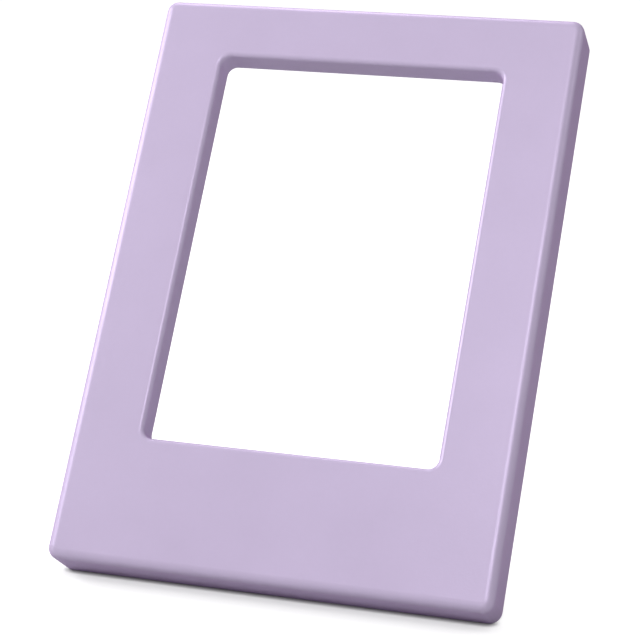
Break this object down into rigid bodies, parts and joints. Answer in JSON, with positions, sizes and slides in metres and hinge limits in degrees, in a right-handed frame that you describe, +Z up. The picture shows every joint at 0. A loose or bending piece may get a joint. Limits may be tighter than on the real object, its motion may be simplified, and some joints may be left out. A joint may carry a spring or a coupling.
{
  "type": "magnetic photo frame",
  "caption": "Magnetic frame for a card-size instant print: bezel and rear frame drawn together by disc magnets, with a fold-flat rear leg.",
  "frame": {"origin": "on the desk, under the middle of the frame's overall box, as it stands leaning back on its open leg", "axes": "+X to the frame's right seen from the front, +Y to the back, +Z up; the face looks forward and up"},
  "size_m": [0.068, 0.0608, 0.0786],
  "materials": {
    "frame_plastic": "satin moulded plastic, pale lavender",
    "inner_plastic": "satin moulded plastic, pale lavender",
    "magnet_nickel": "nickel plated",
    "pin_steel": "drawn steel wire"
  },
  "bodies": {
    "rear_frame": {"rear_frame": "frame_plastic", "hinge_pin": "pin_steel", "rear_magnet_bottom_left": "magnet_nickel", "rear_magnet_bottom_right": "magnet_nickel", "rear_magnet_top_left": "magnet_nickel", "rear_magnet_top_right": "magnet_nickel", "rear_magnet_cap_bottom_left": "inner_plastic", "rear_magnet_cap_bottom_right": "inner_plastic", "rear_magnet_cap_top_left": "inner_plastic", "rear_magnet_cap_top_right": "inner_plastic"},
    "front_bezel": {"front_bezel": "frame_plastic", "front_magnet_bottom_left": "magnet_nickel", "front_magnet_bottom_right": "magnet_nickel", "front_magnet_top_left": "magnet_nickel", "front_magnet_top_right": "magnet_nickel", "front_magnet_cap_bottom_left": "inner_plastic", "front_magnet_cap_bottom_right": "inner_plastic", "front_magnet_cap_top_left": "inner_plastic", "front_magnet_cap_top_right": "inner_plastic"},
    "support_leg": {"support_leg": "frame_plastic"}
  },
  "joints": [
    {"name": "front_lift", "type": "slide", "parent": "rear_frame", "child": "front_bezel", "axis": [0, -0.8039, 0.5948], "range_m": [0, 0.012]},
    {"name": "leg_fold", "type": "hinge", "parent": "rear_frame", "child": "support_leg", "pos_m": [0, -0.01944, 0.00907], "axis": [0, 0.5948, 0.8039], "range_deg": [0, 90]}
  ]
}
